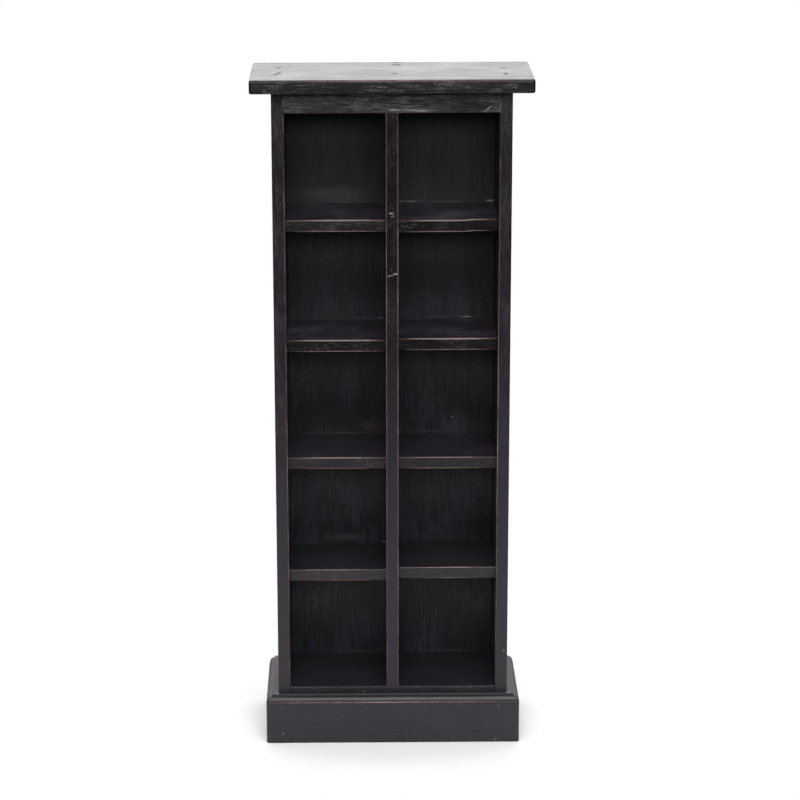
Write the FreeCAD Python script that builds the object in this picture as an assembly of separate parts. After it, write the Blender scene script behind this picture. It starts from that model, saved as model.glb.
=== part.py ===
import FreeCAD, Part
import os
from math import cos, pi, sin
from FreeCAD import Vector

# Open fixed shelf: a tall narrow case with two columns of five cubby holes, a top board
# that overhangs the front and both sides, and a mitred, moulded plinth round its foot.
# Millimetres. +X right, +Y back, +Z up; the front faces -Y.
# The origin is on the floor, under the middle of the top board.

# Top board
HEIGHT = 1000.0
TOP_WIDTH = 402.0
TOP_DEPTH = 175.0
TOP_THICKNESS = 20.0
TOP_CORNER_RADIUS = 5.0
TOP_ARRIS_RADIUS = 3.0
FRONT_OVERHANG = 25.0

# Case
CASE_WIDTH = 342.0
BOARD = 18.0
RAIL_HEIGHT = 31.0
FRAME_ARRIS_RADIUS = 1.5
FLOOR_TOP = 83.0

# Shelves: the two columns were set out one by one, so their levels differ a little
SHELF_TOPS_LEFT = (792.0, 614.0, 436.0, 262.0)
SHELF_TOPS_RIGHT = (791.0, 616.0, 436.0, 265.0)
SHELF_SETBACK = 18.0
SHELF_ARRIS_RADIUS = 2.0

# Joinery
HOUSING_DEPTH = 5.0
TENON_LENGTH = 6.0
TENON_THICKNESS = 9.0
TENON_SHOULDER = 5.0
BACK_THICKNESS = 12.0
RABBET_WIDTH = 9.0

# Plinth boards and the ovolo worked along their top edge
PLINTH_THICKNESS = 18.0
PLINTH_HEIGHT = 75.0
PLINTH_FACE_HEIGHT = 65.0
OVOLO_RADIUS = 7.5
OVOLO_LIP = 0.8
PLINTH_TOP_ROUND = 1.0
PLINTH_FOOT_ROUND = 1.5
PLINTH_CORNER_RADIUS = 4.0

# Glue blocks under the floor board
BLOCK_LEG = 20.0
BLOCK_LENGTH = 60.0
BLOCK_X = 80.0

# Countersunk screws through the top board, under wooden plugs.
# Each row is x, and the distances back from the board's front edge.
SCREW_ROWS = (
    (-162.0, (65.0, 123.0)),
    (4.0, (62.0, 145.0)),
    (162.0, (52.0, 110.0)),
)
PLUG_RADIUS = 4.0
PLUG_LENGTH = 6.0
SCREW_LENGTH = 42.0
SCREW_HEAD_RADIUS = 3.8
SCREW_HEAD_LENGTH = 2.6
SCREW_RADIUS = 1.8
SCREW_POINT = 4.0

# Nails, and the flats that screws and nails are given round their axis
PIN_SIDES = 8
NAIL_RADIUS = 0.9
NAIL_HEAD_RADIUS = 1.7
NAIL_HEAD_LENGTH = 0.8
NAIL_POINT = 2.0
PLINTH_NAIL_LENGTH = 32.0
PLINTH_NAIL_LEVELS = (15.0, 57.0)
PLINTH_SIDE_NAIL_INSET = 30.0
BACK_NAIL_LENGTH = 28.0
BACK_NAIL_LEVELS = (110.0, 315.0, 520.0, 725.0, 930.0)

# Worked-out places
BACK_Y = TOP_DEPTH / 2
FRONT_Y = -TOP_DEPTH / 2 + FRONT_OVERHANG
SIDE_X = CASE_WIDTH / 2
INSIDE_X = SIDE_X - BOARD
DIVIDER_X = BOARD / 2
PANEL_Y = BACK_Y - BACK_THICKNESS
CASE_TOP = HEIGHT - TOP_THICKNESS
RAIL_BOTTOM = CASE_TOP - RAIL_HEIGHT
FLOOR_BOTTOM = FLOOR_TOP - BOARD


def block(x_range, y_range, z_range):
    """A rectangular block between two corners."""
    low = Vector(x_range[0], y_range[0], z_range[0])
    size = [end - start for start, end in (x_range, y_range, z_range)]
    return Part.makeBox(*size, low)


def rounded(shape, radius, picked):
    """The shape with the edges whose middles pass the test rounded over."""
    edges = [edge for edge in shape.Edges if picked(edge.CenterOfMass)]
    return shape.makeFillet(radius, edges)


def near(value, target):
    """Whether two lengths agree to a thousandth of a millimetre."""
    return abs(value - target) < 1e-3


def joined(pieces):
    """One solid from overlapping or touching pieces."""
    whole = pieces[0]
    for piece in pieces[1:]:
        whole = whole.fuse(piece)
    return whole.removeSplitter()


def without(shape, cutters):
    """The shape with every cutter taken out of it."""
    for cutter in cutters:
        shape = shape.cut(cutter)
    return shape


def rounded_rectangle(x_half, y_range, radius, height):
    """An upright prism whose plan is a rectangle with rounded corners."""
    prism = block((-x_half, x_half), y_range, (0.0, height))
    return rounded(prism, radius, lambda point: near(point.z, height / 2))


def ring(radius, distance):
    """A flat-sided ring round the Z axis, or the one point where the radius is nil."""
    if radius == 0.0:
        return Part.Vertex(Vector(0, 0, distance))
    turns = [2 * pi * (step + 0.5) / PIN_SIDES for step in range(PIN_SIDES)]
    corners = [Vector(radius * cos(turn), radius * sin(turn), distance) for turn in turns]
    return Part.makePolygon(corners + corners[:1])


def pin(outline, base, axis):
    """A pin from (radius, distance) steps along its axis, with its first step at base."""
    spans = []
    for (radius, start), (next_radius, end) in zip(outline, outline[1:]):
        if end > start:
            spans.append(Part.makeLoft([ring(radius, start), ring(next_radius, end)], True, True))
    solid = joined(spans)
    turn = FreeCAD.Rotation(Vector(0, 0, 1), Vector(*axis))
    solid.Placement = FreeCAD.Placement(Vector(*base), turn)
    return solid


def screw(base, axis):
    """A countersunk wood screw, its head at base, driven along axis."""
    outline = (
        (SCREW_HEAD_RADIUS, 0.0),
        (SCREW_RADIUS, SCREW_HEAD_LENGTH),
        (SCREW_RADIUS, SCREW_LENGTH - SCREW_POINT),
        (0.0, SCREW_LENGTH),
    )
    return pin(outline, base, axis)


def nail(base, axis, length):
    """A flat-headed nail, its head flush at base, driven along axis."""
    outline = (
        (NAIL_HEAD_RADIUS, 0.0),
        (NAIL_HEAD_RADIUS, NAIL_HEAD_LENGTH),
        (NAIL_RADIUS, NAIL_HEAD_LENGTH),
        (NAIL_RADIUS, length - NAIL_POINT),
        (0.0, length),
    )
    return pin(outline, base, axis)


def plugged_screws():
    """The screws through the top board and the plugs over their heads."""
    head_z = HEIGHT - PLUG_LENGTH
    screws = []
    plugs = []
    for x, distances in SCREW_ROWS:
        for from_front in distances:
            y = from_front - TOP_DEPTH / 2
            screws.append(screw((x, y, head_z), (0, 0, -1)))
            plugs.append(Part.makeCylinder(PLUG_RADIUS, PLUG_LENGTH, Vector(x, y, head_z)))
    return screws, plugs


def plinth_nails():
    """Two nails through each end of the front board and of each side board."""
    face_y = FRONT_Y - PLINTH_THICKNESS
    face_x = SIDE_X + PLINTH_THICKNESS
    side_y = (FRONT_Y + PLINTH_SIDE_NAIL_INSET, BACK_Y - PLINTH_SIDE_NAIL_INSET)
    nails = []
    for side in (-1, 1):
        for z in PLINTH_NAIL_LEVELS:
            edge_x = side * (SIDE_X - BOARD / 2)
            nails.append(nail((edge_x, face_y, z), (0, 1, 0), PLINTH_NAIL_LENGTH))
        for y in side_y:
            base = (side * face_x, y, PLINTH_HEIGHT / 2)
            nails.append(nail(base, (-side, 0, 0), PLINTH_NAIL_LENGTH))
    return nails


def back_nails():
    """Nails through the back panel into the shoulder of each rabbet."""
    nails = []
    for side in (-1, 1):
        for z in BACK_NAIL_LEVELS:
            base = (side * (INSIDE_X + RABBET_WIDTH / 2), BACK_Y, z)
            nails.append(nail(base, (0, -1, 0), BACK_NAIL_LENGTH))
    return nails


def top_board(screws, plugs):
    """The top slab, every arris rounded over, bored for its screws and plugs."""
    y_range = (-TOP_DEPTH / 2, BACK_Y)
    slab = rounded_rectangle(TOP_WIDTH / 2, y_range, TOP_CORNER_RADIUS, TOP_THICKNESS)
    slab = rounded(slab, TOP_ARRIS_RADIUS, lambda point: not near(point.z, TOP_THICKNESS / 2))
    slab.translate(Vector(0, 0, CASE_TOP))
    return without(slab, screws + plugs)


def shelf(side, level):
    """A shelf for one column, its ends let into the side panel and the divider."""
    near_x = side * (DIVIDER_X - HOUSING_DEPTH)
    far_x = side * (INSIDE_X + HOUSING_DEPTH)
    front = FRONT_Y + SHELF_SETBACK
    x_range = (min(near_x, far_x), max(near_x, far_x))
    board = block(x_range, (front, PANEL_Y), (level - BOARD, level))
    front_edges = lambda point: near(point.y, front) and not near(point.z, level - BOARD / 2)
    return rounded(board, SHELF_ARRIS_RADIUS, front_edges)


def floor_board():
    """The lowest shelf, flush with the front, with stopped tongues at its ends."""
    body = block((-INSIDE_X, INSIDE_X), (FRONT_Y, PANEL_Y), (FLOOR_BOTTOM, FLOOR_TOP))
    arris = lambda point: near(point.y, FRONT_Y) and near(point.z, FLOOR_TOP)
    body = rounded(body, FRAME_ARRIS_RADIUS, arris)
    tongue_x = INSIDE_X + HOUSING_DEPTH
    tongue = block((-tongue_x, tongue_x), (FRONT_Y + BOARD, PANEL_Y), (FLOOR_BOTTOM, FLOOR_TOP))
    return joined([body, tongue])


def tenoned_rail(y_range, z_range, round_bottom_front):
    """A rail between the side panels, with a stub tenon at each end."""
    body = block((-INSIDE_X, INSIDE_X), y_range, z_range)
    if round_bottom_front:
        arris = lambda point: near(point.y, y_range[0]) and near(point.z, z_range[0])
        body = rounded(body, FRAME_ARRIS_RADIUS, arris)
    tenon_x = INSIDE_X + TENON_LENGTH
    middle = (y_range[0] + y_range[1]) / 2
    tenon_y = (middle - TENON_THICKNESS / 2, middle + TENON_THICKNESS / 2)
    tenon_z = (z_range[0] + TENON_SHOULDER, z_range[1] - TENON_SHOULDER)
    return joined([body, block((-tenon_x, tenon_x), tenon_y, tenon_z)])


def back_panel(nails):
    """The back, let into the side panels' rabbets and standing on the rear rail."""
    x_half = INSIDE_X + RABBET_WIDTH
    panel = block((-x_half, x_half), (PANEL_Y, BACK_Y), (FLOOR_BOTTOM, CASE_TOP))
    return without(panel, nails)


def side_panel(side, housed):
    """A full-height side panel: rabbet, stopped housings, mortises and nail holes."""
    x_range = (min(side * INSIDE_X, side * SIDE_X), max(side * INSIDE_X, side * SIDE_X))
    panel = block(x_range, (FRONT_Y, BACK_Y), (0.0, CASE_TOP))
    front_edges = lambda point: near(point.y, FRONT_Y) and near(point.z, CASE_TOP / 2)
    panel = rounded(panel, FRAME_ARRIS_RADIUS, front_edges)
    return without(panel, housed)


def centre_divider(housed):
    """The upright between the columns, notched round the rail at its top front."""
    body = block((-DIVIDER_X, DIVIDER_X), (FRONT_Y, PANEL_Y), (FLOOR_TOP, CASE_TOP))
    middle_z = (FLOOR_TOP + CASE_TOP) / 2
    front_edges = lambda point: near(point.y, FRONT_Y) and near(point.z, middle_z)
    body = rounded(body, FRAME_ARRIS_RADIUS, front_edges)
    tongue_z = (FLOOR_TOP - HOUSING_DEPTH, FLOOR_TOP)
    tongue = block((-DIVIDER_X, DIVIDER_X), (FRONT_Y + BOARD, PANEL_Y), tongue_z)
    notch = block((-BOARD, BOARD), (FRONT_Y - BOARD, FRONT_Y + BOARD), (RAIL_BOTTOM, HEIGHT))
    return without(joined([body, tongue]), [notch] + housed)


def plinth_section():
    """The plinth board's section: out from the case, and up from the floor."""
    lip = PLINTH_THICKNESS - OVOLO_LIP
    shoulder = lip - OVOLO_RADIUS

    def at(out, up):
        return Vector(0, -out, up)

    def quarter_round(centre_out, centre_up, radius, first_turn):
        """A quarter circle, its turns counted from straight out towards straight up."""
        turns = [first_turn + pi / 4 * step for step in range(3)]
        points = [at(centre_out + radius * cos(t), centre_up + radius * sin(t)) for t in turns]
        return Part.Arc(*points).toShape()

    foot_up = PLINTH_FOOT_ROUND
    foot_out = PLINTH_THICKNESS - PLINTH_FOOT_ROUND
    top_up = PLINTH_HEIGHT - PLINTH_TOP_ROUND
    top_out = shoulder - PLINTH_TOP_ROUND
    edges = [
        Part.makeLine(at(0, 0), at(foot_out, 0)),
        quarter_round(foot_out, foot_up, PLINTH_FOOT_ROUND, -pi / 2),
        Part.makeLine(at(PLINTH_THICKNESS, foot_up), at(PLINTH_THICKNESS, PLINTH_FACE_HEIGHT)),
        Part.makeLine(at(PLINTH_THICKNESS, PLINTH_FACE_HEIGHT), at(lip, PLINTH_FACE_HEIGHT)),
        quarter_round(shoulder, PLINTH_FACE_HEIGHT, OVOLO_RADIUS, 0.0),
        Part.makeLine(at(shoulder, PLINTH_FACE_HEIGHT + OVOLO_RADIUS), at(shoulder, top_up)),
        quarter_round(top_out, top_up, PLINTH_TOP_ROUND, 0.0),
        Part.makeLine(at(top_out, PLINTH_HEIGHT), at(0, PLINTH_HEIGHT)),
        Part.makeLine(at(0, PLINTH_HEIGHT), at(0, 0)),
    ]
    return Part.Face(Part.Wire(edges))


def mitre_prism(corners):
    """An upright prism that leaves one plinth board between its mitres."""
    points = [Vector(x, y, 0) for x, y in corners]
    face = Part.Face(Part.makePolygon(points + points[:1]))
    return face.extrude(Vector(0, 0, PLINTH_HEIGHT))


def plinth_boards(nails):
    """The front, left and right plinth boards, mitred at the two front corners."""
    out_x = SIDE_X + PLINTH_THICKNESS
    out_y = FRONT_Y - PLINTH_THICKNESS
    past_back = BACK_Y + TOP_DEPTH
    corners = rounded_rectangle(out_x, (out_y, past_back), PLINTH_CORNER_RADIUS, PLINTH_HEIGHT)
    front_stock = plinth_section().extrude(Vector(2 * out_x, 0, 0))
    front_stock.translate(Vector(-out_x, FRONT_Y, 0))
    front_plan = ((-out_x, out_y), (out_x, out_y), (SIDE_X, FRONT_Y), (-SIDE_X, FRONT_Y))
    boards = {"front_plinth": front_stock.common(mitre_prism(front_plan))}
    side_stock = plinth_section().extrude(Vector(2 * TOP_DEPTH, 0, 0))
    for name, side in (("left_plinth", -1), ("right_plinth", 1)):
        stock = side_stock.copy()
        stock.rotate(Vector(0, 0, 0), Vector(0, 0, 1), 90 * side)
        stock.translate(Vector(side * SIDE_X, -side * TOP_DEPTH, 0))
        side_plan = (
            (side * SIDE_X, FRONT_Y),
            (side * out_x, out_y),
            (side * out_x, BACK_Y),
            (side * SIDE_X, BACK_Y),
        )
        boards[name] = stock.common(mitre_prism(side_plan))
    return {name: without(board.common(corners), nails) for name, board in boards.items()}


def glue_blocks():
    """Triangular blocks in the corners under the floor board, two front and two rear."""
    rear_y = BACK_Y - BOARD
    blocks = []
    for corner_y, towards in ((FRONT_Y, 1), (rear_y, -1)):
        for x in (-BLOCK_X, BLOCK_X):
            start = x - BLOCK_LENGTH / 2
            points = [
                Vector(start, corner_y, FLOOR_BOTTOM),
                Vector(start, corner_y + towards * BLOCK_LEG, FLOOR_BOTTOM),
                Vector(start, corner_y, FLOOR_BOTTOM - BLOCK_LEG),
            ]
            face = Part.Face(Part.makePolygon(points + points[:1]))
            blocks.append(face.extrude(Vector(BLOCK_LENGTH, 0, 0)))
    return blocks


def build():
    """Every piece of the shelf, by name."""
    screws, plugs = plugged_screws()
    foot_nails = plinth_nails()
    panel_nails = back_nails()
    parts = {"top_board": top_board(screws, plugs)}

    columns = (("left", -1, SHELF_TOPS_LEFT), ("right", 1, SHELF_TOPS_RIGHT))
    for column, side, levels in columns:
        for number, level in enumerate(levels, start=1):
            parts[f"shelf_{column}_{number}"] = shelf(side, level)
    shelves = list(parts.values())[1:]

    parts["floor_board"] = floor_board()
    front_rail_y = (FRONT_Y, FRONT_Y + BOARD)
    rear_rail_y = (BACK_Y - BOARD, BACK_Y)
    parts["top_rail"] = tenoned_rail(front_rail_y, (RAIL_BOTTOM, CASE_TOP), True)
    parts["rear_plinth_rail"] = tenoned_rail(rear_rail_y, (0.0, FLOOR_BOTTOM), False)
    parts["back_panel"] = back_panel(panel_nails)
    parts["centre_divider"] = centre_divider(shelves + screws)
    parts["floor_board"] = parts["floor_board"].cut(parts["centre_divider"])

    crossing = ("floor_board", "top_rail", "rear_plinth_rail", "back_panel")
    housed = shelves + [parts[name] for name in crossing]
    for name, side in (("left_side_panel", -1), ("right_side_panel", 1)):
        parts[name] = side_panel(side, housed + screws + foot_nails + panel_nails)

    parts.update(plinth_boards(foot_nails))
    parts["glue_blocks"] = Part.makeCompound(glue_blocks())
    parts["top_board_screws"] = Part.makeCompound(screws)
    parts["top_board_plugs"] = Part.makeCompound(plugs)
    parts["plinth_nails"] = Part.makeCompound(foot_nails)
    parts["back_panel_nails"] = Part.makeCompound(panel_nails)
    return parts


os.makedirs("parts", exist_ok=True)
for node, shape in build().items():
    shape.exportStep(f"parts/{node}.step")
    print(node, len(shape.Solids), "solids,", round(shape.Volume / 1000.0, 2), "cm3")
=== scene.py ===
import math
from types import SimpleNamespace

import bpy
import numpy as np
from mathutils import Matrix, Vector


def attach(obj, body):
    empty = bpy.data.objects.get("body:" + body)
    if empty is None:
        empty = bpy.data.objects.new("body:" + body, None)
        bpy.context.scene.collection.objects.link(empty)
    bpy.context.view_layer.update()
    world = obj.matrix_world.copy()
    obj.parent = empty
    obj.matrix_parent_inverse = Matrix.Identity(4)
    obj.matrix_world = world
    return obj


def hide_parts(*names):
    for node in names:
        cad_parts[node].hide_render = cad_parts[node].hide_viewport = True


# Rubbed black CD shelf. Each painted board is a finely divided solid with softened, worn
# arrises, in the place of its CAD piece; the paint, wood and wear are node materials.
# The frame's own axes: +X right, +Y back, +Z up, the front facing -Y. Boards and marks are
# worked out in millimetres and made in metres. Noise, camera, floor and lights are in metres.

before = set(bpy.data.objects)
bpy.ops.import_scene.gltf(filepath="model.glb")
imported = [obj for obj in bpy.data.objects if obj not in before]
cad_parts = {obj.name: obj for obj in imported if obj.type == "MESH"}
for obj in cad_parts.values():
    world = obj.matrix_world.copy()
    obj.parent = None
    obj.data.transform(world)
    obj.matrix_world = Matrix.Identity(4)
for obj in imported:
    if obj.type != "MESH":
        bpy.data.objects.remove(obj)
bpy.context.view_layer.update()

MM = 0.001

# Sizes and places of the boards, in millimetres
SIDES = {"left": -1, "right": 1}
BOARD = 18.0
CASE_HALF = 171.0
INSIDE = CASE_HALF - BOARD
CASE_TOP = 978.6
FRONT = -62.5
BACK = 87.5
PANEL_THICKNESS = 12.0
PANEL = BACK - PANEL_THICKNESS
PANEL_TOP = 979.4
RABBET = 9.0
RAIL_UNDER = 949.0
FLOOR = 83.0
DIVIDER_HALF = 9.0
SETBACK = 18.0
SHELF_FRONT = FRONT + SETBACK
SHELVES = {"left": (792.0, 614.0, 436.0, 262.0), "right": (791.0, 616.0, 436.0, 265.0)}
TOP_HALF = 201.0
TOP_FRONT = -87.5
TOP_UNDER = 980.0
TOP_UPPER = 999.8

# How far the ends of shelves and divider, and of rail and floor board, go into their neighbours
SHELF_TUCK = 0.3
RAIL_TUCK = 0.2

# Radii of the arrises at the front of case and shelves, of the top board and its ends, of
# arrises and ends that lie hidden, and of the back panel's outer arrises
FRONT_ROUND = 1.5
SHELF_ROUND = 2.0
TOP_ROUND = 3.4
TOP_END_ROUND = 3.2
HIDDEN_ROUND = 0.4
END_ROUND = 0.3
PANEL_ROUND = 0.8

# The divider is squeezed back over this depth to make room for the rail, in rings at these heights
NOTCH_DEPTH = 24.0
NOTCH_HEIGHTS = (RAIL_UNDER + 1.1, 960.0, 970.0, 979.7)

# The upper right shelf is warped: its front edge rises near its right end
WARP_START = 98.0
WARP_LENGTH = 26.0
WARP_RISE = 1.4

# The plinth's section: how far out from the case its face and ledge stand, heights and radii
PLINTH_OUT = 17.9
PLINTH_FACE = FRONT - PLINTH_OUT
LEDGE_OUT = 9.7
LIP_HEIGHT = 65.0
SHOULDER_HEIGHT = 74.0
PLINTH_TOP = 75.0
FOOT_ROUND = 1.5
FOOT_ROUND_OUT = 16.5
OVOLO = 7.5

# Its rows of points: along the underside, up the face, on the lip's small round, along the top
# and down the back, and then back from a mitre, back from a square end and in between
UNDER_ROWS = (0.0, 8.0)
FACE_ROWS = (2.2, 4.0, 8.0, 14.0, 22.0, 30.0, 38.0, 46.0, 53.0, 58.0, 61.5, 63.2, 64.2)
LIP_POINT = (17.6, 64.8)
LEDGE_ROWS = (7.5, 4.0, 0.0)
BACK_ROW = 40.0
MITRE_ROWS = (0.0, 0.6, 1.3, 2.2, 3.2, 4.2, 6.0, 9.0, 13.0, 18.0)
SQUARE_END_ROWS = (0.8, 0.0)
PLINTH_STEP = 5.0

# The plinth's upright corners are rounded about a line this far out from the case
CORNER_CENTRE = 14.0

# The plinth's worn lines, as (out, up)
LIP_LINE = (17.8, 64.8)
SHOULDER_LINE = (9.3, 74.6)
FOOT_LINE = (17.8, 0.3)

# How finely the boards are divided: steps in a quarter turn, and rows of points near an edge,
# left out where they would come further along a run than this share of it
ARC_STEPS = 4
OVOLO_STEPS = 8
SHOULDER_STEPS = 3
EDGE_ROWS = (0.7, 2.5, 6.0)
EDGE_SHARE = 0.35

# Where shading breaks, and where a face counts as looking up
SHARP_ANGLE = math.radians(48)
UPWARD = 0.8

# Wear: its reach from the arris, how abruptly it ends, and how late it fades towards the ends
WEAR_REACH = 1.9
WEAR_POWER = 1.5
FADE_POWER = 2.5

# How far inside the corner of top board, shelves and case the worn line lies, and how high it
# runs up the outer arrises of the case
TOP_INSET = 0.8
SHELF_INSET = 0.5
CASE_INSET = 0.4
WORN_UP_TO = 975.0

# How deep a fully worn arris is dented, and the waves that the dents follow: their number, the
# longest, how much shorter and weaker each next one is, and what brings their sum near 1
TOP_DENT = 0.5
CASE_DENT = 0.45
PLINTH_DENT = 0.4
WAVES = 6
LONGEST_WAVE = 50.0
WAVE_SHORTENING = 1.8
WAVE_WEAKENING = 1.3
WAVE_SUM = 2.5

# How worn the upper and lower front arris of each shelf are, from the top row down
SHELF_WEAR = {
    "left": ((0.92, 0.98), (1.04, 1.04), (0.80, 0.77), (0.66, 0.74)),
    "right": ((0.90, 1.04), (1.02, 1.05), (0.76, 0.93), (0.79, 0.87)),
}


# Shapes

def corner_arc(here, before, after, radius):
    """Points and outward offsets round a corner between two directions, and the arc's reach."""
    normal_in = np.array([before[1], -before[0]])
    normal_out = np.array([after[1], -after[0]])
    turn = math.atan2(before[0] * after[1] - before[1] * after[0], before @ after)
    if turn <= 0 or radius == 0:
        return [(here, (normal_in + normal_out) / (1 + normal_in @ normal_out))], 0.0
    reach = radius * math.tan(turn / 2)
    centre = here - before * reach - normal_in * radius
    arc = []
    for share in np.linspace(0, 1, ARC_STEPS + 1):
        cosine, sine = math.cos(turn * share), math.sin(turn * share)
        normal = np.array([normal_in[0] * cosine - normal_in[1] * sine,
                           normal_in[0] * sine + normal_in[1] * cosine])
        arc.append((centre + normal * radius, normal))
    return arc, reach


def outline(corners, spacing):
    """A closed outline through (a, b, radius) corners: its points and outward offsets."""
    places = [np.array(corner[:2], dtype=float) for corner in corners]
    runs = [after - here for here, after in zip(places, places[1:] + places[:1])]
    directions = [run / np.linalg.norm(run) for run in runs]
    arcs = [corner_arc(place, directions[k - 1], directions[k], corners[k][2])
            for k, place in enumerate(places)]
    points, offsets = [], []
    for k, (arc, reach) in enumerate(arcs):
        for point, normal in arc:
            points.append(point)
            offsets.append(normal)
        direction = directions[k]
        length = np.linalg.norm(runs[k]) - reach - arcs[(k + 1) % len(arcs)][1]
        for distance in divisions(length, spacing):
            points.append(places[k] + direction * (reach + distance))
            offsets.append(np.array([direction[1], -direction[0]]))
    return np.array(points), np.array(offsets)


def divisions(length, spacing):
    """Places inside a straight run: some close to each end, the rest evenly spaced."""
    near = [value for value in EDGE_ROWS if value < length * EDGE_SHARE]
    if not near:
        return []
    start = near[-1]
    count = max(1, round((length - 2 * start) / spacing))
    middle = [start + (length - 2 * start) * k / count for k in range(count + 1)]
    return near[:-1] + middle + [length - value for value in reversed(near[:-1])]


def stations(low, high, step, end_round):
    """Places along a board with the inset each has from the outline, end rings included."""
    turns = [math.pi / 2 * (1 - k / ARC_STEPS) for k in range(ARC_STEPS + 1)]
    lead = [(end_round * (1 - math.sin(turn)), end_round * (1 - math.cos(turn))) for turn in turns]
    run = [end_round + value for value in divisions(high - low - 2 * end_round, step)]
    body = [(value, 0.0) for value in run]
    tail = [(high - low - place, inset) for place, inset in reversed(lead)]
    return [(low + place, inset) for place, inset in lead + body + tail]


def board_rings(axis, corners, low, high, end_round=END_ROUND, step=5.0, spacing=6.0):
    """Rings of points for a board swept along an axis, its two ends rounded over."""
    points, offsets = outline(corners, spacing)
    first, second = ((1, 2), (2, 0), (0, 1))[axis]
    places = stations(low, high, step, end_round)
    loops = np.zeros((len(places), len(points), 3))
    for k, (place, inset) in enumerate(places):
        section = points - offsets * inset
        loops[k, :, axis] = place
        loops[k, :, first] = section[:, 0]
        loops[k, :, second] = section[:, 1]
    return loops


def rectangle(low_a, high_a, low_b, high_b, radii):
    """Corners of a rectangle, in order round it, each with its radius."""
    places = ((low_a, low_b), (high_a, low_b), (high_a, high_b), (low_a, high_b))
    return [(a, b, radius) for (a, b), radius in zip(places, radii)]


def ring_faces(loops):
    """Quads between the rings and a cap at each end, all facing outwards."""
    rings, count = loops.shape[:2]
    points = loops.reshape(-1, 3)
    index = np.arange(rings * count).reshape(rings, count)
    following = np.roll(index, -1, axis=1)
    quads = np.stack([index[:-1], following[:-1], following[1:], index[1:]], axis=-1).reshape(-1, 4)
    faces = quads.tolist() + [index[0][::-1].tolist(), index[-1].tolist()]
    first, second, third, fourth = (points[quads[:, k]] - points.mean(axis=0) for k in range(4))
    volume = np.sum(np.cross(first, second) * third) + np.sum(np.cross(first, third) * fourth)
    return faces if volume > 0 else [face[::-1] for face in faces]


def waves(values, seed):
    """Smooth made-up unevenness along a coordinate, between about -1 and 1."""
    source = np.random.default_rng(seed)
    total = np.zeros_like(values)
    for k in range(WAVES):
        turns = values / (LONGEST_WAVE / WAVE_SHORTENING ** k)
        total += np.sin(turns * 2 * math.pi + source.uniform(0, 2 * math.pi)) / WAVE_WEAKENING ** k
    return total / WAVE_SUM


def arris_wear(points, arrises):
    """How worn each point is: strongest on the arris itself, gone a few millimetres away."""
    total = np.zeros(len(points))
    for start, end, strength, fade in arrises:
        start, span = np.array(start), np.array(end) - start
        share = np.clip((points - start) @ span / (span @ span), 0, 1)
        distance = np.linalg.norm(points - start - share[:, None] * span, axis=1)
        along = 1 - fade * np.abs(2 * share - 1) ** FADE_POWER
        total = np.maximum(total, strength * along * np.exp(-(distance / WEAR_REACH) ** WEAR_POWER))
    return total


def new_object(name, data):
    thing = bpy.data.objects.new(name, data)
    bpy.context.scene.collection.objects.link(thing)
    return thing


def closed_mesh(name, loops, arrises, dent, seed):
    """A closed solid from rings of points in millimetres, its arrises worn and dented."""
    points = loops.reshape(-1, 3)
    mesh = bpy.data.meshes.new(name)
    mesh.from_pydata((points * MM).tolist(), [], ring_faces(loops))
    mesh.update()
    wear = arris_wear(points, arrises)
    rough = np.clip(0.5 + 0.5 * waves(points.sum(axis=1), seed), 0, 1)
    normals = np.zeros(points.size)
    mesh.vertices.foreach_get("normal", normals)
    moved = points - normals.reshape(-1, 3) * (dent * wear * rough)[:, None]
    mesh.vertices.foreach_set("co", (moved * MM).ravel())
    layer = mesh.attributes.new("wear", "FLOAT", "POINT")
    layer.data.foreach_set("value", wear.astype(np.float32))
    mesh.shade_smooth()
    mesh.set_sharp_from_angle(angle=SHARP_ANGLE)
    mesh.update()
    return new_object(name, mesh)


def arris_across(half, y, z, strength, fade):
    """A worn arris that runs across the shelf."""
    return (-half, y, z), (half, y, z), strength, fade


def arris_up(x, low, high, strength, fade=0.1):
    """A worn arris that runs up the front of the case."""
    return (x, FRONT + CASE_INSET, low), (x, FRONT + CASE_INSET, high), strength, fade


# Materials

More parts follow.
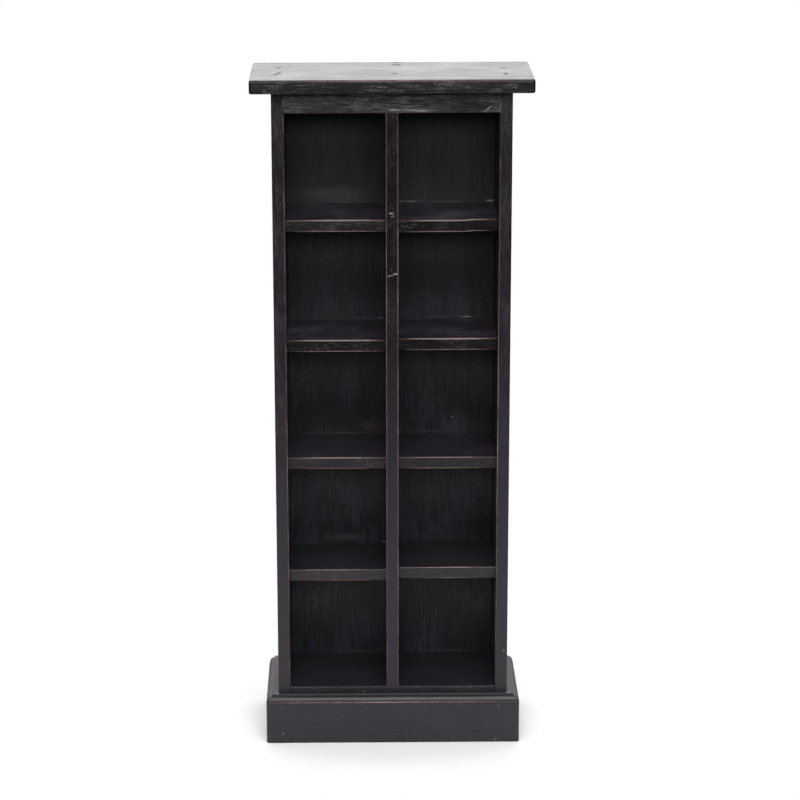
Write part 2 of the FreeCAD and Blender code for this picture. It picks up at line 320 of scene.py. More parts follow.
class Nodes:
    """Short calls for building the node tree of a material or a world."""

    def __init__(self, owner):
        self.owner = owner
        owner.use_nodes = True
        self.tree = owner.node_tree
        self.tree.nodes.clear()

    def add(self, kind, inputs=None, **settings):
        """A node with its settings. An input is a value, or another node's output to link."""
        node = self.tree.nodes.new("ShaderNode" + kind)
        for key, value in settings.items():
            setattr(node, key, value)
        for key, value in (inputs or {}).items():
            if isinstance(value, bpy.types.NodeSocket):
                self.tree.links.new(value, node.inputs[key])
            else:
                node.inputs[key].default_value = value
        return node

    def place(self):
        return self.add("TexCoord").outputs["Object"]

    def math(self, operation, first, second=0.0, third=0.0):
        inputs = {0: first, 1: second, 2: third}
        return self.add("Math", inputs, operation=operation).outputs[0]

    def weighted(self, *terms):
        """A sum of values, each times its weight."""
        total = self.math("MULTIPLY", *terms[0])
        for value, weight in terms[1:]:
            total = self.math("MULTIPLY_ADD", value, weight, total)
        return total

    def vector(self, operation, first, second):
        return self.add("VectorMath", {0: first, 1: second}, operation=operation).outputs["Vector"]

    def length(self, place):
        return self.add("VectorMath", {0: place}, operation="LENGTH").outputs["Value"]

    def noise(self, place, scale, detail=2.0, roughness=0.5, distortion=0.0):
        inputs = {"Vector": place, "Scale": scale, "Detail": detail, "Roughness": roughness,
                  "Distortion": distortion}
        return self.add("TexNoise", inputs).outputs[0]

    def ramp(self, value, low, high, to_low=0.0, to_high=1.0, kind="SMOOTHSTEP"):
        inputs = {"Value": value, "From Min": low, "From Max": high, "To Min": to_low, "To Max": to_high}
        return self.add("MapRange", inputs, interpolation_type=kind).outputs[0]

    def blend(self, factor, first, second):
        """A mix of two colours. The numbers are those of the Mix node's colour sockets."""
        return self.add("Mix", {0: factor, 6: first, 7: second}, data_type="RGBA").outputs[2]

    def finish(self, surface, kind="OutputMaterial"):
        self.tree.links.new(surface, self.add(kind).inputs["Surface"])
        return self.owner

    def finish_solid(self, colour, roughness, height, strength, distance, others=None):
        """Ends a material with a coloured surface that a height makes uneven."""
        bump = self.add("Bump", {"Strength": strength, "Distance": distance, "Height": height})
        inputs = {"Base Color": colour, "Roughness": roughness, "Normal": bump.outputs[0], **(others or {})}
        return self.finish(self.add("BsdfPrincipled", inputs).outputs[0])


def tint(red, green, blue):
    return (red, green, blue, 1.0)


WHITE = tint(1.0, 1.0, 1.0)
PAINT_DARK = tint(0.0062, 0.0036, 0.0048)
PAINT_LIGHT = tint(0.0400, 0.0355, 0.0430)
PAINT_CALM = tint(0.0190, 0.0160, 0.0225)
HAZE = tint(0.118, 0.105, 0.116)
SPECK = tint(0.46, 0.43, 0.42)
HALO = tint(0.050, 0.019, 0.018)
BARE = tint(0.300, 0.228, 0.215)
PINE_LIGHT = tint(0.50, 0.33, 0.19)
PINE_DARK = tint(0.34, 0.20, 0.11)
STEEL = tint(0.32, 0.31, 0.30)
RUST = tint(0.11, 0.05, 0.03)

# How noise is scaled along the grain, where less is longer, and how deep bumps are
GRAIN = 0.09
HAIR = 0.03
PAINT_DEPTH = 0.0006
WOOD_DEPTH = 0.0005
STEEL_DEPTH = 0.0002

# The wear between which the red-brown ground comes up, and that for the bare wood
HALO_WEAR = (0.30, 0.55)
BARE_WEAR = (0.50, 0.78)

# Some paint is rubbed less low down, where its calm colour also paints light or shade: its two
# shares hold below and above these heights
RUBBING_AND_LIGHT_HEIGHTS = (0.22, 0.80)
CALM_AND_PAINTED_LIGHT_BELOW = (0.12, 1.0)

# Single marks fade in between two distances, and noise breaks up their outline this strongly
SMEAR_EDGE = (1.2, 0.1)
SPOT_EDGE = (1.0, 0.5)
DENT_EDGE = (1.1, 0.3)
SMEAR_STRENGTH = 0.24
SPOT_STRENGTH = 0.6
RAGGEDNESS = 4.0

# What a paint is like unless its own call says otherwise
PLAIN_PAINT = {
    "mottle": 1.0,                  # how much of the mottled colour shows over the calm one
    # With a height ramp the calm colour takes over low down: painted light on the uprights and divider,
    # painted shade on the shelf tops
    "rubbing": (1.0, 1.0),          # what the mottle is multiplied with low down and high up
    "calm": PAINT_CALM,             # the colour of paint that isn't rubbed
    "tone": (1.0, 1.0, 1.0),        # what the mottled colour is multiplied with
    "shares": (0.2, 0.25, 0.55),    # of the broad, middle and streaky noise in the mottling
    "haze": 0.5,                    # how strong the pale haze is
    "specks": 0.5,                  # how strong the pale specks are
    "scratch": 0.24,                # how the streaks are scaled along the grain: less is longer
    "shift": 0.0,                   # how far the noise is moved
    "gloss": 0.4,                   # the roughness in the middle of its range
    "uneven": 0.3,                  # the width of that range
    "shine": 0.5,                   # the specular level
    "relief": 0.5,                  # how strong the bumps are
    "faint": (),                    # single smears, pale marks and dark dents
    "pale": (),
    "dark": (),
}


def stretch(grain, share):
    """How to scale the place so that noise runs long along the grain."""
    return tuple(share if axis == grain else 1.0 for axis in "xyz")


def nearest_mark(s, place, noise, marks):
    """Distance to the closest of the single marks, where 1 is about the mark's own outline."""
    field = None
    for centre, size, turn in marks:
        inputs = {"Vector": place, "Location": [value * MM for value in centre],
                  "Rotation": [math.radians(angle) for angle in turn],
                  "Scale": [value * MM for value in size]}
        distance = s.length(s.add("Mapping", inputs, vector_type="TEXTURE").outputs[0])
        field = distance if field is None else s.math("MINIMUM", field, distance)
    return s.math("MULTIPLY_ADD", noise, RAGGEDNESS, s.math("SUBTRACT", field, RAGGEDNESS / 2))


def paint_noise(s, place, grain, paint):
    """The noises that a paint is made with, most of them drawn out along the grain."""
    moved = s.vector("ADD", place, (paint.shift,) * 3) if paint.shift else place
    along, scratched, hair = (s.vector("MULTIPLY", moved, stretch(grain, share))
                              for share in (GRAIN, paint.scratch, HAIR))
    noise = SimpleNamespace(
        broad=s.noise(moved, 16.0, 3.0),
        middle=s.noise(along, 85.0, 4.0, 0.6, 0.5),
        streaks=s.noise(scratched, 420.0, 4.0, 0.75, 0.4),
        fine=s.noise(hair, 900.0, 2.0),
        grit=s.noise(moved, 480.0, 3.0, 0.6),
    )
    noise.mixed = s.weighted(*zip((noise.broad, noise.middle, noise.streaks), paint.shares))
    return noise


def mottled(s, place, noise, paint):
    """The colour away from the arrises: paint mottled, hazed and specked as much as it is worn, over a plain
    colour that low down on some boards is painted light and on others painted shade.
    """
    # The share of mottled over calm paint: real rubbing, and low down also the calm colour's painted light
    # on some boards and painted shade on others
    rubbed_and_lit = paint.mottle
    low, high = paint.rubbing
    if low != high:
        height = s.add("SeparateXYZ", {0: place}).outputs["Z"]
        rubbed_and_lit = s.ramp(height, *RUBBING_AND_LIGHT_HEIGHTS, low * paint.mottle, high * paint.mottle)
    colour = s.blend(s.ramp(noise.mixed, 0.44, 0.56), PAINT_DARK, PAINT_LIGHT)
    colour = s.blend(rubbed_and_lit, paint.calm, s.vector("MULTIPLY", colour, paint.tone))
    veil = s.weighted((noise.grit, 0.35), (noise.streaks, 0.65), (noise.broad, 0.35))
    veil = s.math("MULTIPLY", s.ramp(veil, 0.69, 0.79, 0.0, paint.haze), rubbed_and_lit)
    colour = s.blend(veil, colour, HAZE)
    patch = s.ramp(s.weighted((noise.streaks, 0.4), (noise.broad, 0.6)), 0.50, 0.60)
    speck = s.math("MULTIPLY", s.ramp(noise.grit, 0.62, 0.70, 0.0, paint.specks), patch)
    return s.blend(s.math("MULTIPLY", speck, rubbed_and_lit), colour, SPECK)


def painted(name, grain, **changes):
    """Black paint worn through at the arrises, over a red-brown ground on bare wood."""
    paint = SimpleNamespace(**{**PLAIN_PAINT, **changes})
    s = Nodes(bpy.data.materials.new(name))
    place = s.place()
    noise = paint_noise(s, place, grain, paint)
    colour = mottled(s, place, noise, paint)

    # Where the paint is worn through, raggedly
    wear = s.add("Attribute", attribute_name="wear").outputs["Fac"]
    broken = s.weighted((noise.grit, 0.35), (noise.streaks, 0.45), (noise.middle, 0.5))
    worn = s.math("ADD", wear, s.math("MULTIPLY_ADD", broken, 0.9, -0.585))
    halo = s.ramp(worn, *HALO_WEAR)
    bare = s.ramp(worn, *BARE_WEAR)
    colour = s.blend(s.math("MULTIPLY", halo, 0.9), colour, HALO)
    colour = s.blend(bare, colour, BARE)
    roughness = s.math("MULTIPLY_ADD", noise.mixed, paint.uneven, paint.gloss - paint.uneven / 2)
    roughness = s.math("MULTIPLY_ADD", halo, 0.15, roughness)
    height = s.weighted((noise.fine, 0.3), (noise.streaks, 0.5), (noise.middle, 0.7), (bare, -0.25))

    # Single marks
    if paint.faint:
        cloud = s.weighted((noise.middle, 0.3), (noise.broad, 0.7))
        smear = s.ramp(nearest_mark(s, place, cloud, paint.faint), *SMEAR_EDGE, 0.0, SMEAR_STRENGTH)
        colour = s.blend(smear, colour, HAZE)
    if paint.pale:
        spot = s.ramp(nearest_mark(s, place, noise.streaks, paint.pale), *SPOT_EDGE, 0.0, SPOT_STRENGTH)
        colour = s.blend(spot, colour, SPECK)
        roughness = s.math("MULTIPLY_ADD", spot, 0.2, roughness)
    if paint.dark:
        dent = s.ramp(nearest_mark(s, place, noise.grit, paint.dark), *DENT_EDGE)
        colour = s.blend(dent, colour, PAINT_DARK)
        roughness = s.math("MULTIPLY_ADD", dent, 0.3, roughness)
        height = s.math("MULTIPLY_ADD", dent, -1.2, height)
    shine = {"Specular IOR Level": paint.shine}
    return s.finish_solid(colour, roughness, height, paint.relief, PAINT_DEPTH, shine)


def bare_pine():
    """Unpainted softwood with streaked grain."""
    s = Nodes(bpy.data.materials.new("bare_pine"))
    along = s.vector("MULTIPLY", s.place(), stretch("x", GRAIN))
    rings = s.noise(along, 90.0, 4.0, 0.6, 1.2)
    fibre = s.noise(along, 900.0, 2.0)
    mixed = s.weighted((rings, 0.7), (fibre, 0.35))
    colour = s.blend(s.ramp(mixed, 0.35, 0.7), PINE_LIGHT, PINE_DARK)
    return s.finish_solid(colour, 0.75, mixed, 0.4, WOOD_DEPTH)


def old_steel():
    """Dull steel with brown rust blooms."""
    s = Nodes(bpy.data.materials.new("nail_steel"))
    rust = s.ramp(s.noise(s.place(), 900.0, 3.0, 0.6), 0.45, 0.62)
    colour = s.blend(rust, STEEL, RUST)
    metal = {"Metallic": s.math("SUBTRACT", 1.0, rust)}
    return s.finish_solid(colour, 0.45, rust, 0.4, STEEL_DEPTH, metal)


def dress(piece, nodes, material):
    """Gives a piece its material and puts it on the body in place of its CAD nodes."""
    piece.data.materials.append(material)
    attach(piece, "root")
    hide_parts(*nodes)


def dress_upper(piece, material):
    """Gives the faces that look up a second material."""
    piece.data.materials.append(material)
    for face in piece.data.polygons:
        face.material_index = int(face.normal.z > UPWARD)


# Single marks, in millimetres and degrees

# How far marks reach into an upright face and into the top face, and the latter's height
MARK_DEPTH = 3.0
TOP_MARK_DEPTH = 4.0
TOP_MARK_HEIGHT = 1000.0


def marks_on(plane, *spots):
    """Marks on an upright face, from the x, z, half width, half height and turn of each."""
    return [((x, plane, z), (half_width, MARK_DEPTH, half_height), (0.0, turn, 0.0))
            for x, z, half_width, half_height, turn in spots]


def marks_on_top(*spots):
    """Marks on the top face, from the x, y, half width, half depth and turn of each."""
    return [((x, y, TOP_MARK_HEIGHT), (half_width, half_depth, TOP_MARK_DEPTH), (0.0, 0.0, turn))
            for x, y, half_width, half_depth, turn in spots]


TOP_DENTS = marks_on_top(
    (-161.7, -20.0, 3.0, 19.0, -17.0),
    (10.0, 57.0, 5.0, 7.0, 0.0),
    (7.4, 79.0, 7.0, 4.0, 0.0),
    (162.0, -29.0, 2.5, 6.0, 0.0),
)
TOP_SMEARS = marks_on_top(
    (-60.0, -10.0, 70.0, 4.0, 0.0),
    (90.0, 30.0, 60.0, 5.0, 0.0),
)
RAIL_MARKS = marks_on(
    FRONT,
    (137.0, 955.8, 6.0, 1.0, -35.0),
    (133.0, 952.8, 4.5, 0.9, -30.0),
    (4.0, 953.6, 12.0, 1.6, 0.0),
    (40.0, 952.6, 26.0, 1.7, 0.0),
)
RAIL_SMEARS = marks_on(
    FRONT,
    (80.0, 961.0, 16.0, 2.5, 0.0),
    (-110.0, 966.0, 45.0, 6.0, 0.0),
    (-40.0, 958.0, 30.0, 4.0, 0.0),
    (20.0, 970.0, 30.0, 3.0, 0.0),
)
FLOOR_MARKS = marks_on(FRONT, (-42.9, 75.5, 1.6, 0.9, 0.0))
UPRIGHT_MARKS = marks_on(
    FRONT,
    (-153.5, 963.0, 0.7, 10.0, 0.0),
    (153.5, 963.0, 0.8, 11.0, 0.0),
    (165.4, 139.1, 1.3, 1.3, 0.0),
)
DIVIDER_MARKS = marks_on(
    FRONT,
    (-1.0, 804.7, 4.0, 1.3, 0.0),
    (0.5, 800.5, 2.6, 0.9, 0.0),
    (-0.9, 722.5, 1.0, 1.3, 0.0),
    (-3.5, 713.2, 5.0, 1.5, -12.0),
    (4.5, 716.0, 4.0, 1.6, -8.0),
)
BACK_MARKS = marks_on(
    PANEL,
    (147.0, 795.2, 7.5, 1.4, 0.0),
    (27.0, 794.6, 19.0, 0.6, 0.0),
    (113.0, 618.6, 8.0, 0.9, 0.0),
    (-14.5, 617.6, 4.0, 0.8, -20.0),
    (-11.7, 264.9, 2.5, 1.5, 0.0),
    (93.0, 463.1, 1.4, 1.4, 0.0),
)
BACK_SMEARS = marks_on(
    PANEL,
    (70.0, 794.0, 50.0, 1.2, 0.0),
    (136.0, 786.0, 6.5, 1.0, 0.0),
    (-85.0, 806.0, 60.0, 13.0, 0.0),
    (-80.0, 794.0, 60.0, 1.3, 0.0),
    (-40.0, 618.0, 36.0, 1.6, 0.0),
    (70.0, 618.2, 55.0, 1.4, 0.0),
    (134.0, 647.0, 5.0, 1.8, -45.0),
    (-132.0, 261.0, 14.0, 0.9, 0.0),
    (20.0, 266.0, 7.0, 0.9, 0.0),
    (-70.0, 438.5, 60.0, 1.5, 0.0),
    (70.0, 440.0, 55.0, 1.5, 0.0),
    (-30.0, 448.0, 12.0, 9.0, 0.0),
    (-60.0, 273.0, 48.0, 5.0, 0.0),
    (-50.0, 86.0, 50.0, 1.5, 0.0),
    (80.0, 86.0, 50.0, 1.6, 0.0),
)
PLINTH_MARKS = marks_on(
    PLINTH_FACE,
    (-165.6, 57.4, 0.9, 0.9, 0.0),
    (-163.3, 15.1, 1.5, 1.5, 0.0),
    (153.2, 3.9, 1.6, 1.3, 0.0),
    (157.8, 56.4, 0.8, 0.8, 0.0),
)
PLINTH_SMEARS = marks_on(
    PLINTH_FACE,
    (-26.1, 20.5, 3.5, 0.9, -50.0),
    (-184.9, 13.4, 1.0, 1.4, 0.0),
)

# How mottled each row's shelves are, their tone, haze and shine, from the top row down
SHELF_FINISHES = (
    (1.0, (0.72, 0.66, 0.74), 0.7, 0.45),
    (0.8, (0.20, 0.16, 0.20), 0.2, 0.2),
    (0.45, (0.36, 0.32, 0.38), 0.3, 0.4),
    (0.3, (0.50, 0.46, 0.52), 0.3, 0.5),
)

# Which of these each shelf has
SHELF_PAINTS = {"left": (0, 1, 2, 3), "right": (1, 1, 2, 3)}


# The shelf

def build_top():
    corners = rectangle(TOP_FRONT, BACK, TOP_UNDER, TOP_UPPER, radii=(TOP_ROUND,) * 4)
    loops = board_rings(0, corners, -TOP_HALF, TOP_HALF, TOP_END_ROUND, step=4.0, spacing=5.0)
    front, upper = TOP_FRONT + TOP_INSET, TOP_UPPER - TOP_INSET
    arrises = [
        arris_across(TOP_HALF, front, upper, strength=0.75, fade=0.45),
        arris_across(TOP_HALF, front, TOP_UNDER + TOP_INSET, strength=0.45, fade=0.3),
    ]
    for x in (TOP_INSET - TOP_HALF, TOP_HALF - TOP_INSET):
        arrises.append(((x, TOP_FRONT, upper), (x, BACK, upper), 0.45, 0.2))
    piece = closed_mesh("top_board_slab", loops, arrises, TOP_DENT, seed=11)
    edges = painted("top_edge_paint", "x", tone=(0.50, 0.42, 0.50), haze=0.85, specks=0.9,
                    scratch=0.12, shift=0.21, gloss=0.5, shine=0.35)
    face = painted("top_face_paint", "x", mottle=0.7, tone=(1.3, 1.05, 1.3), haze=0.7, specks=0.3,
                   scratch=0.05, gloss=0.38, uneven=0.9, faint=TOP_SMEARS, dark=TOP_DENTS)
    dress(piece, ["top_board"], edges)
    dress_upper(piece, face)


def lift_corner(piece):
    """Bends a shelf's front edge up towards its right end."""
    points = np.zeros(len(piece.data.vertices) * 3)
    piece.data.vertices.foreach_get("co", points)
    points = points.reshape(-1, 3)
    along = np.clip((points[:, 0] / MM - WARP_START) / WARP_LENGTH, 0, 1)
    eased = along ** 2 * (3 - 2 * along)
    forward = np.clip((PANEL - points[:, 1] / MM) / (PANEL - SHELF_FRONT), 0, 1)
    points[:, 2] += WARP_RISE * MM * eased * forward
    piece.data.vertices.foreach_set("co", points.ravel())
    piece.data.update()


def build_shelf(column, number, level, front_paint, upper_paint):
    """One shelf, counted from the top, with its upper face at the given level."""
    ends = (DIVIDER_HALF - SHELF_TUCK, INSIDE + SHELF_TUCK)
    low, high = sorted(SIDES[column] * end for end in ends)
    radii = (SHELF_ROUND, HIDDEN_ROUND, HIDDEN_ROUND, SHELF_ROUND)
    corners = rectangle(SHELF_FRONT, PANEL, level - BOARD, level, radii)
    loops = board_rings(0, corners, low, high, step=4.0)
    y = SHELF_FRONT + SHELF_INSET
    heights = (level - SHELF_INSET, level - BOARD + SHELF_INSET)
    arrises = [((low, y, z), (high, y, z), strength, 0.55)
               for z, strength in zip(heights, SHELF_WEAR[column][number - 1])]
    name = f"shelf_{column}_{number}_board"
    piece = closed_mesh(name, loops, arrises, CASE_DENT, seed=20 + int(level))
    if (column, number) == ("right", 1):
        lift_corner(piece)
    dress(piece, [f"shelf_{column}_{number}"], front_paint)
    dress_upper(piece, upper_paint)


def build_shelves(upper_paint):
    paints = [
        painted(f"shelf_{number}_paint", "x", mottle=mottle, tone=tone, haze=haze, specks=0.6, shine=shine)
        for number, (mottle, tone, haze, shine) in enumerate(SHELF_FINISHES, start=1)
    ]
    for column, levels in SHELVES.items():
        for number, level in enumerate(levels, start=1):
            front_paint = paints[SHELF_PAINTS[column][number - 1]]
            build_shelf(column, number, level, front_paint, upper_paint)


def build_sides():
    # Painted light: the calm colour that takes over low down is much lighter, standing for light from the
    # floor on the lower uprights
    paint = painted("upright_paint", "z", mottle=0.85, rubbing=CALM_AND_PAINTED_LIGHT_BELOW, calm=tint(0.0255, 0.0230, 0.0295),
                    tone=(0.48, 0.40, 0.48), haze=0.22, specks=0.35, scratch=0.12, shine=0.42,
                    pale=UPRIGHT_MARKS)
    for name, side in SIDES.items():
        corners = [
            (INSIDE, FRONT, FRONT_ROUND), (CASE_HALF, FRONT, FRONT_ROUND),
            (CASE_HALF, BACK, PANEL_ROUND), (INSIDE + RABBET, BACK, 0.5),
            (INSIDE + RABBET, PANEL, 0.0), (INSIDE, PANEL, HIDDEN_ROUND),
        ]
        corners = [(side * x, y, radius) for x, y, radius in corners][::side]
        loops = board_rings(2, corners, 0.0, CASE_TOP)
        arrises = [
            arris_up(side * (INSIDE + CASE_INSET), FLOOR, RAIL_UNDER, strength=0.71),
            arris_up(side * (CASE_HALF - CASE_INSET), PLINTH_TOP, WORN_UP_TO, strength=0.54),
        ]
        piece = closed_mesh(f"{name}_side_board", loops, arrises, CASE_DENT, seed=60 + side)
        dress(piece, [f"{name}_side_panel"], paint)


def build_rail():
    corners = rectangle(FRONT, FRONT + BOARD, RAIL_UNDER, CASE_TOP, radii=(FRONT_ROUND, 0.5, 0.5, 1.0))
    half = INSIDE + RAIL_TUCK
    loops = board_rings(0, corners, -half, half, step=4.0, spacing=5.0)
    y, z = FRONT + CASE_INSET, RAIL_UNDER + CASE_INSET
    arrises = [arris_across(INSIDE, y, z, strength=0.6, fade=0.3)]
    piece = closed_mesh("top_rail_board", loops, arrises, CASE_DENT, seed=71)
    paint = painted("rail_paint", "x", tone=(1.15, 1.10, 1.20), haze=1.0, specks=1.0, scratch=0.12,
                    pale=RAIL_MARKS, faint=RAIL_SMEARS)
    dress(piece, ["top_rail"], paint)


def behind_rail(section):
    """The divider's rings above the rail's underside, where its front is cut back for the rail."""
    depth = section[:, 1] - FRONT
    cut_back = np.where(depth < NOTCH_DEPTH, BOARD + depth * (1 - BOARD / NOTCH_DEPTH), depth)
    loops = []
    for height in NOTCH_HEIGHTS:
        ring = section.copy()
        ring[:, 1] = FRONT + cut_back
        ring[:, 2] = height
        loops.append(ring)
    return np.array(loops)


def build_divider():
    radii = (FRONT_ROUND, FRONT_ROUND, HIDDEN_ROUND, HIDDEN_ROUND)
    corners = rectangle(-DIVIDER_HALF, DIVIDER_HALF, FRONT, PANEL, radii)
    loops = board_rings(2, corners, FLOOR - SHELF_TUCK, RAIL_UNDER + SHELF_TUCK)
    loops = np.concatenate([loops, behind_rail(loops[-1])])
    x = DIVIDER_HALF - CASE_INSET
    arrises = [arris_up(side * x, FLOOR, RAIL_UNDER, strength=0.75) for side in SIDES.values()]
    piece = closed_mesh("centre_divider_board", loops, arrises, CASE_DENT, seed=81)
    # Painted light: the calm colour that takes over low down is far lighter, standing for the floor's
    # reflection on the lower divider
    paint = painted("divider_paint", "z", rubbing=CALM_AND_PAINTED_LIGHT_BELOW, calm=tint(0.0330, 0.0290, 0.0370),
                    tone=(0.22, 0.15, 0.18), haze=0.15, specks=0.4, shine=0.3, pale=DIVIDER_MARKS)
    dress(piece, ["centre_divider"], paint)


def build_floor_board(upper_paint):
    radii = (0.5, HIDDEN_ROUND, HIDDEN_ROUND, FRONT_ROUND)
    corners = rectangle(FRONT, PANEL, FLOOR - BOARD, FLOOR, radii)
    half = INSIDE + RAIL_TUCK
    loops = board_rings(0, corners, -half, half, step=4.0)
    y, z = FRONT + CASE_INSET, FLOOR - CASE_INSET
    arrises = [arris_across(INSIDE, y, z, strength=0.42, fade=0.2)]
    piece = closed_mesh("floor_board_panel", loops, arrises, CASE_DENT, seed=91)
    paint = painted("floor_board_paint", "x", mottle=0.6, tone=(0.42, 0.36, 0.44), haze=0.5, shine=0.35,
                    pale=FLOOR_MARKS)
    dress(piece, ["floor_board"], paint)
    dress_upper(piece, upper_paint)


def build_back():
    half = INSIDE + RABBET
    corners = rectangle(-half, half, PANEL, BACK, radii=(PANEL_ROUND,) * 4)
    loops = board_rings(2, corners, FLOOR - BOARD, PANEL_TOP, end_round=0.5, step=8.0, spacing=10.0)
    piece = closed_mesh("back_board", loops, [], 0.0, seed=95)
    paint = painted("back_paint", "z", mottle=0.8, rubbing=(1.0, 0.45), calm=tint(0.0100, 0.0098, 0.0145),
                    tone=(0.46, 0.44, 0.68), shares=(0.28, 0.36, 0.36), haze=0.2, specks=0.2,
                    scratch=0.07, gloss=0.5, shine=0.4, pale=BACK_MARKS, faint=BACK_SMEARS)
    dress(piece, ["back_panel"], paint)


def quarter_round(centre_out, centre_up, radius, steps):
    """Points of a quarter circle, from straight out to straight up."""
    turns = [math.pi / 2 * k / steps for k in range(steps + 1)]
    return [(centre_out + radius * math.cos(turn), centre_up + radius * math.sin(turn)) for turn in turns]


def plinth_section():
    """The moulded board's section as (out, up) points, from under the case round to its face."""
    shoulder = PLINTH_TOP - SHOULDER_HEIGHT
    points = [(out, 0.0) for out in UNDER_ROWS]
    foot = quarter_round(FOOT_ROUND_OUT, -FOOT_ROUND, FOOT_ROUND, ARC_STEPS)
    points += [(out, -up) for out, up in reversed(foot)]
    points += [(PLINTH_OUT, up) for up in FACE_ROWS] + [LIP_POINT]
    points += quarter_round(LEDGE_OUT, LIP_HEIGHT, OVOLO, OVOLO_STEPS)
    points += quarter_round(LEDGE_OUT - shoulder, SHOULDER_HEIGHT, shoulder, SHOULDER_STEPS)
    points += [(out, PLINTH_TOP) for out in LEDGE_ROWS] + [(0.0, BACK_ROW)]
    return np.array([(min(out, PLINTH_OUT), up) for out, up in points])


def round_corner(loops, end, direction):
    """Rounds the upright corner at a mitred end, by drawing its square in to a quarter circle."""
    past = (loops[..., 0] - end) * direction - CORNER_CENTRE
    out = loops[..., 1] - CORNER_CENTRE
    inside = (past > 0) & (out > 0)
    scale = np.maximum(past, out) / np.where(inside, np.hypot(past, out), 1.0)
    loops[..., 0] = np.where(inside, end + direction * (CORNER_CENTRE + past * scale), loops[..., 0])
    loops[..., 1] = np.where(inside, CORNER_CENTRE + out * scale, loops[..., 1])


def plinth_rings(length, mitre_both):
    """Rings of (along, out, up) for one board: a mitred start, and a mitred or square end."""
    out, up = plinth_section().T
    lead = [value - out for value in MITRE_ROWS]
    if mitre_both:
        tail = [length + out - value for value in reversed(MITRE_ROWS)]
    else:
        tail = [np.full(len(out), length - value) for value in SQUARE_END_ROWS]
    span = length - MITRE_ROWS[-1] * (2 if mitre_both else 1)
    count = int(span / PLINTH_STEP)
    body = [lead[-1] * (1 - k / count) + tail[0] * (k / count) for k in range(1, count)]
    loops = np.array([np.stack([along, out, up], axis=-1) for along in lead + body + tail])
    round_corner(loops, 0.0, -1)
    if mitre_both:
        round_corner(loops, length, 1)
    return loops


def build_front_plinth():
    rings = plinth_rings(2 * CASE_HALF, True)
    loops = np.stack([rings[..., 0] - CASE_HALF, FRONT - rings[..., 1], rings[..., 2]], axis=-1)

    # Each worn line, half its length, its strength and its fade
    lines = (
        (LIP_LINE, 185.0, 0.72, 0.2),
        (SHOULDER_LINE, 185.0, 0.36, 0.1),
        (FOOT_LINE, 189.0, 0.35, 0.1),
    )
    arrises = [arris_across(half, FRONT - out, up, strength, fade)
               for (out, up), half, strength, fade in lines]
    piece = closed_mesh("front_plinth_board", loops, arrises, PLINTH_DENT, seed=101)
    paint = painted("plinth_paint", "x", mottle=0.10, gloss=0.36, relief=0.3, pale=PLINTH_MARKS,
                    faint=PLINTH_SMEARS)
    dress(piece, ["front_plinth"], paint)


def build_side_plinths():
    paint = painted("plinth_side_paint", "y", mottle=0.5, tone=(0.8, 0.75, 0.8), gloss=0.5)
    rings = plinth_rings(BACK - FRONT, False)

    # Each worn line, the place where it starts at the front, its strength and its fade
    lines = (
        (LIP_LINE, FRONT - 14.0, 0.5, 0.2),
        (SHOULDER_LINE, FRONT - 9.0, 0.45, 0.1),
    )
    for name, side in SIDES.items():
        across = side * (CASE_HALF + rings[..., 1])
        loops = np.stack([across, FRONT + rings[..., 0], rings[..., 2]], axis=-1)
        arrises = []
        for (out, up), start, strength, fade in lines:
            x = side * (CASE_HALF + out)
            arrises.append(((x, start, up), (x, BACK, up), strength, fade))
        piece = closed_mesh(f"{name}_plinth_board", loops, arrises, PLINTH_DENT, seed=105 + side)
        dress(piece, [f"{name}_plinth"], paint)


def finish_cad_nodes():
    """Puts materials on the nodes that the CAD solids themselves show."""
    wood = bare_pine()
    steel = old_steel()
    paint = painted("filled_paint", "x", mottle=0.5, tone=(0.6, 0.55, 0.65), haze=0.2, gloss=0.5)
    materials = {
        "rear_plinth_rail": paint,
        "glue_blocks": wood,
        "top_board_screws": steel,
        "plinth_nails": paint,
        "back_panel_nails": steel,
        "top_board_plugs": paint,
    }
    for node, material in materials.items():
        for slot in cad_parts[node].material_slots:
            slot.material = material


# Camera, fitted to the photograph's straight edges

FOCAL_PIXELS = 2634.8
IMAGE_PIXELS = 800
CENTRE_SHIFT_PIXELS = 30.0
SENSOR_MM = 36.0
CAMERA_PLACE = Vector((-0.0559, -3.7493, 1.5657))
CAMERA_PITCH, CAMERA_YAW, CAMERA_ROLL = (math.radians(angle) for angle in (15.06, 0.367, -0.206))


def place_camera():
    camera = new_object("camera", bpy.data.cameras.new("camera"))
    forward = Vector((math.sin(CAMERA_YAW) * math.cos(CAMERA_PITCH),
                      math.cos(CAMERA_YAW) * math.cos(CAMERA_PITCH), -math.sin(CAMERA_PITCH)))
    level = Vector((math.cos(CAMERA_YAW), -math.sin(CAMERA_YAW), 0.0))
    upward = level.cross(forward)
    right = level * math.cos(CAMERA_ROLL) + upward * math.sin(CAMERA_ROLL)
    up = upward * math.cos(CAMERA_ROLL) - level * math.sin(CAMERA_ROLL)
    turn = Matrix((right, up, -forward)).transposed().to_4x4()
    camera.matrix_world = Matrix.Translation(CAMERA_PLACE) @ turn
    camera.data.sensor_width = SENSOR_MM
    camera.data.lens = FOCAL_PIXELS / IMAGE_PIXELS * SENSOR_MM
    camera.data.shift_x = CENTRE_SHIFT_PIXELS / IMAGE_PIXELS
    camera.data.shift_y = -CENTRE_SHIFT_PIXELS / IMAGE_PIXELS
    camera.data.clip_end = 100.0
    bpy.context.scene.camera = camera


# Floor and light

FLOOR_HALF = 25.0
FLOOR_PALE = tint(0.80, 0.80, 0.80)
FLOOR_PAINTED_SHADE = tint(0.03, 0.03, 0.03)

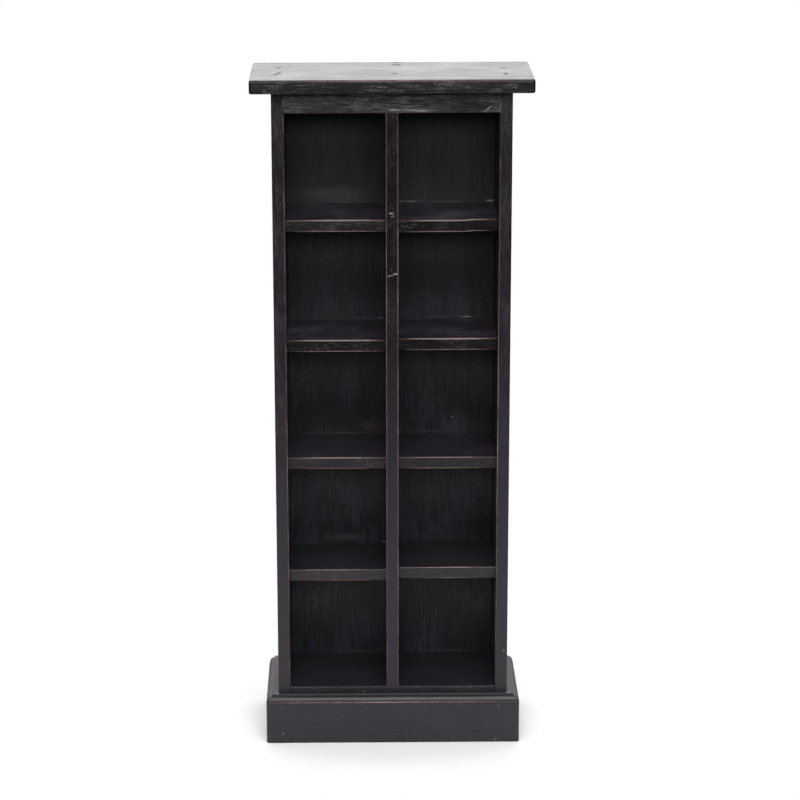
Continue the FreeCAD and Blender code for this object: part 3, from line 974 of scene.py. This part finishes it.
# The camera sees the floor go from shaded to plain white between these reaches, where a
# sideways metre counts as half; other rays see painted shade, standing for the lamps' light falling off,
# darken it between these distances
WHITE_SHAPE = (0.5, 1.0, 1.0)
WHITE_REACHES = (0.12, 0.215)
PAINTED_SHADE_DISTANCES = (0.95, 1.45)

# The surround's strength from low in front, from high in front and from behind, and the heights
# and depths of a direction between which one passes into the next
WORLD_LOW = 0.04
WORLD_HIGH = 0.9
WORLD_BACK = 0.8
WORLD_HEIGHTS = (0.30, 0.75)
WORLD_DEPTHS = (-0.2, 0.4)

# Each light's name, place, target, size and radiance
LIGHTS = (
    ("overhead_softbox", (0.1, -1.6, 2.9), (0.0, 0.0, 0.4), (1.8, 1.8), 3.6),
    ("front_softbox", (0.2, -4.7, 2.45), (0.0, 0.0, 0.6), (3.4, 1.0), 7.0),
    ("rear_softbox", (0.0, 3.4, 2.0), (0.0, 0.0, 0.9), (4.0, 1.8), 1.9),
)


def area_light(name, place, target, size, radiance):
    """A soft rectangular light facing a target, unseen by the camera."""
    light = bpy.data.lights.new(name, "AREA")
    light.shape = "RECTANGLE"
    light.size, light.size_y = size
    light.energy = radiance * math.pi * size[0] * size[1]
    lamp = new_object(name, light)
    turn = (Vector(target) - Vector(place)).to_track_quat("-Z", "Y").to_matrix().to_4x4()
    lamp.matrix_world = Matrix.Translation(place) @ turn
    lamp.visible_camera = False


def floor_material():
    s = Nodes(bpy.data.materials.new("pale_floor"))
    place = s.place()
    reach = s.length(s.vector("MULTIPLY", place, WHITE_SHAPE))
    seen = s.add("LightPath").outputs["Is Camera Ray"]
    # Painted shade: for all but camera rays the floor darkens away from the shelf
    painted_falloff = s.ramp(s.length(place), *PAINTED_SHADE_DISTANCES)
    colour = s.blend(painted_falloff, FLOOR_PALE, FLOOR_PAINTED_SHADE)
    colour = s.blend(seen, colour, WHITE)
    diffuse = s.add("BsdfDiffuse", {"Color": colour}).outputs[0]
    white = s.add("Emission", {"Color": WHITE, "Strength": 1.0}).outputs[0]
    far = s.math("MULTIPLY", seen, s.ramp(reach, *WHITE_REACHES))
    return s.finish(s.add("MixShader", {0: far, 1: diffuse, 2: white}).outputs[0])


def build_floor():
    corners = [(x * FLOOR_HALF, y * FLOOR_HALF, 0.0) for x, y in ((-1, -1), (1, -1), (1, 1), (-1, 1))]
    mesh = bpy.data.meshes.new("studio_floor")
    mesh.from_pydata(corners, [], [(0, 1, 2, 3)])
    mesh.materials.append(floor_material())
    floor = new_object("studio_floor", mesh)


def build_world():
    """A white surround to the eye, which lights the piece as a dark room with a bright back."""
    world = bpy.data.worlds.new("studio")
    bpy.context.scene.world = world
    s = Nodes(world)
    direction = s.add("TexCoord").outputs["Generated"]
    split = s.add("SeparateXYZ", {0: direction}).outputs
    front = s.ramp(split["Z"], *WORLD_HEIGHTS, WORLD_LOW, WORLD_HIGH, kind="LINEAR")
    strength = s.ramp(split["Y"], *WORLD_DEPTHS, front, WORLD_BACK, kind="LINEAR")
    seen = s.add("LightPath").outputs["Is Camera Ray"]
    level = s.ramp(seen, 0.0, 1.0, strength, 1.0, kind="LINEAR")
    background = s.add("Background", {"Color": WHITE, "Strength": level})
    s.finish(background.outputs[0], "OutputWorld")


# Painted shade: the darker calm colour that takes over low down shades the lower shelf tops and the floor
# board's top
shelf_upper = painted("shelf_upper_paint", "x", rubbing=CALM_AND_PAINTED_LIGHT_BELOW, calm=tint(0.0140, 0.0135, 0.0185),
                      tone=(0.84, 0.82, 1.08), specks=0.3)
build_top()
build_shelves(shelf_upper)
build_sides()
build_rail()
build_divider()
build_floor_board(shelf_upper)
build_back()
build_front_plinth()
build_side_plinths()
finish_cad_nodes()
build_floor()
build_world()
for light in LIGHTS:
    area_light(*light)
place_camera()

bpy.context.scene.view_settings.view_transform = "Standard"
